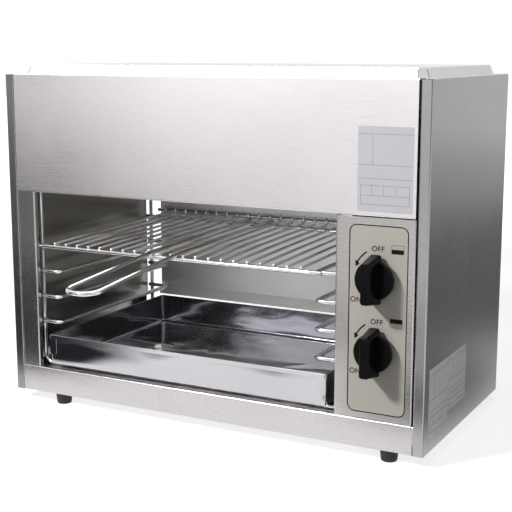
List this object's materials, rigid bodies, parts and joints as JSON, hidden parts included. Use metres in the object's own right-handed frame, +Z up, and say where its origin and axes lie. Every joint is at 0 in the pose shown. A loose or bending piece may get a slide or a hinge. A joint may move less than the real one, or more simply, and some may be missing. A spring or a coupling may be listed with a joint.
{
  "type": "salamander grill",
  "caption": "Counter-top gas salamander grill: open front, wire rack with loop handle on wire runners, sliding drip tray, ceramic burners under the hood, push-and-turn gas taps.",
  "frame": {"origin": "on the surface that it stands on, under the middle of the whole grill's box", "axes": "+X to the user's right along the front, +Y from the front to the rear, +Z up"},
  "size_m": [0.52, 0.4535, 0.402],
  "materials": {
    "casing_steel": "brushed stainless, satin",
    "plate_steel": "brushed stainless with dark printing",
    "liner_steel": "bright annealed stainless, near mirror",
    "tray_steel": "bright thin sheet, slightly creased",
    "chrome_wire": "bright chrome",
    "black_plastic": "semi-gloss black moulding",
    "foot_rubber": "matte black",
    "zinc_steel": "zinc plated",
    "zinc_screw": "zinc plated",
    "burner_steel": "aluminised, heat-dulled",
    "plaque_ceramic": "matte porous",
    "gauze_wire": "heat-tinted",
    "electrode_ceramic": "glazed white",
    "copper_pipe": "drawn copper, satin",
    "brass": "machined",
    "lead_silicone": "matte red silicone",
    "spring_steel": "bright"
  },
  "bodies": {
    "root": {"back_liner": "liner_steel", "back_screws": "zinc_screw", "base_pan": "casing_steel", "base_screws": "zinc_screw", "burner_heat_shield": "zinc_steel", "burner_rails": "zinc_steel", "compartment_cover": "casing_steel", "control_panel": "casing_steel", "control_plate": "plate_steel", "feet": "foot_rubber", "foot_screws": "zinc_screw", "front_burner_gauze": "gauze_wire", "front_burner_housing": "burner_steel", "front_burner_plaques": "plaque_ceramic", "front_electrode": "electrode_ceramic", "front_gas_pipe": "copper_pipe", "front_igniter": "black_plastic", "front_ignition_lead": "lead_silicone", "front_injector": "brass", "front_mixing_tube": "zinc_steel", "front_valve_body": "brass", "front_wire_hoop": "chrome_wire", "gas_inlet_nipple": "brass", "gas_manifold": "zinc_steel", "hood_back_panel": "casing_steel", "hood_front_panel": "casing_steel", "left_liner": "liner_steel", "left_pillar": "casing_steel", "left_runners": "chrome_wire", "left_side_panel": "casing_steel", "partition": "liner_steel", "rear_burner_gauze": "gauze_wire", "rear_burner_housing": "burner_steel", "rear_burner_plaques": "plaque_ceramic", "rear_electrode": "electrode_ceramic", "rear_gas_pipe": "copper_pipe", "rear_igniter": "black_plastic", "rear_ignition_lead": "lead_silicone", "rear_injector": "brass", "rear_mixing_tube": "zinc_steel", "rear_valve_body": "brass", "rear_wire_hoop": "chrome_wire", "right_runners": "chrome_wire", "right_side_panel": "casing_steel", "top_lid": "casing_steel", "valve_bracket": "zinc_steel"},
    "rack": {"rack_front_bar": "chrome_wire", "rack_rods": "chrome_wire", "rack_rear_bars": "chrome_wire", "rack_handle": "chrome_wire"},
    "tray": {"drip_tray": "tray_steel"},
    "front_tap": {"front_tap_plug": "brass", "front_tap_spring": "spring_steel"},
    "front_knob": {"front_spindle": "spring_steel", "front_knob": "black_plastic"},
    "rear_tap": {"rear_tap_plug": "brass", "rear_tap_spring": "spring_steel"},
    "rear_knob": {"rear_spindle": "spring_steel", "rear_knob": "black_plastic"}
  },
  "joints": [
    {"name": "rack_slide", "type": "slide", "parent": "root", "child": "rack", "axis": [0, -1, 0], "range_m": [0, 0.2]},
    {"name": "tray_slide", "type": "slide", "parent": "root", "child": "tray", "axis": [0, -1, 0], "range_m": [0, 0.2]},
    {"name": "front_tap_turn", "type": "hinge", "parent": "root", "child": "front_tap", "pos_m": [0.207, -0.04025, 0.193], "axis": [0, -1, 0], "range_deg": [0, 130]},
    {"name": "front_knob_push", "type": "slide", "parent": "front_tap", "child": "front_knob", "axis": [0, 1, 0], "range_m": [0, 0.004], "stiffness_N_per_m": 2500, "springref_m": -0.001, "deforming": ["front_tap_spring"]},
    {"name": "rear_tap_turn", "type": "hinge", "parent": "root", "child": "rear_tap", "pos_m": [0.207, -0.04025, 0.118], "axis": [0, -1, 0], "range_deg": [0, 130]},
    {"name": "rear_knob_push", "type": "slide", "parent": "rear_tap", "child": "rear_knob", "axis": [0, 1, 0], "range_m": [0, 0.004], "stiffness_N_per_m": 2500, "springref_m": -0.001, "deforming": ["rear_tap_spring"]}
  ]
}
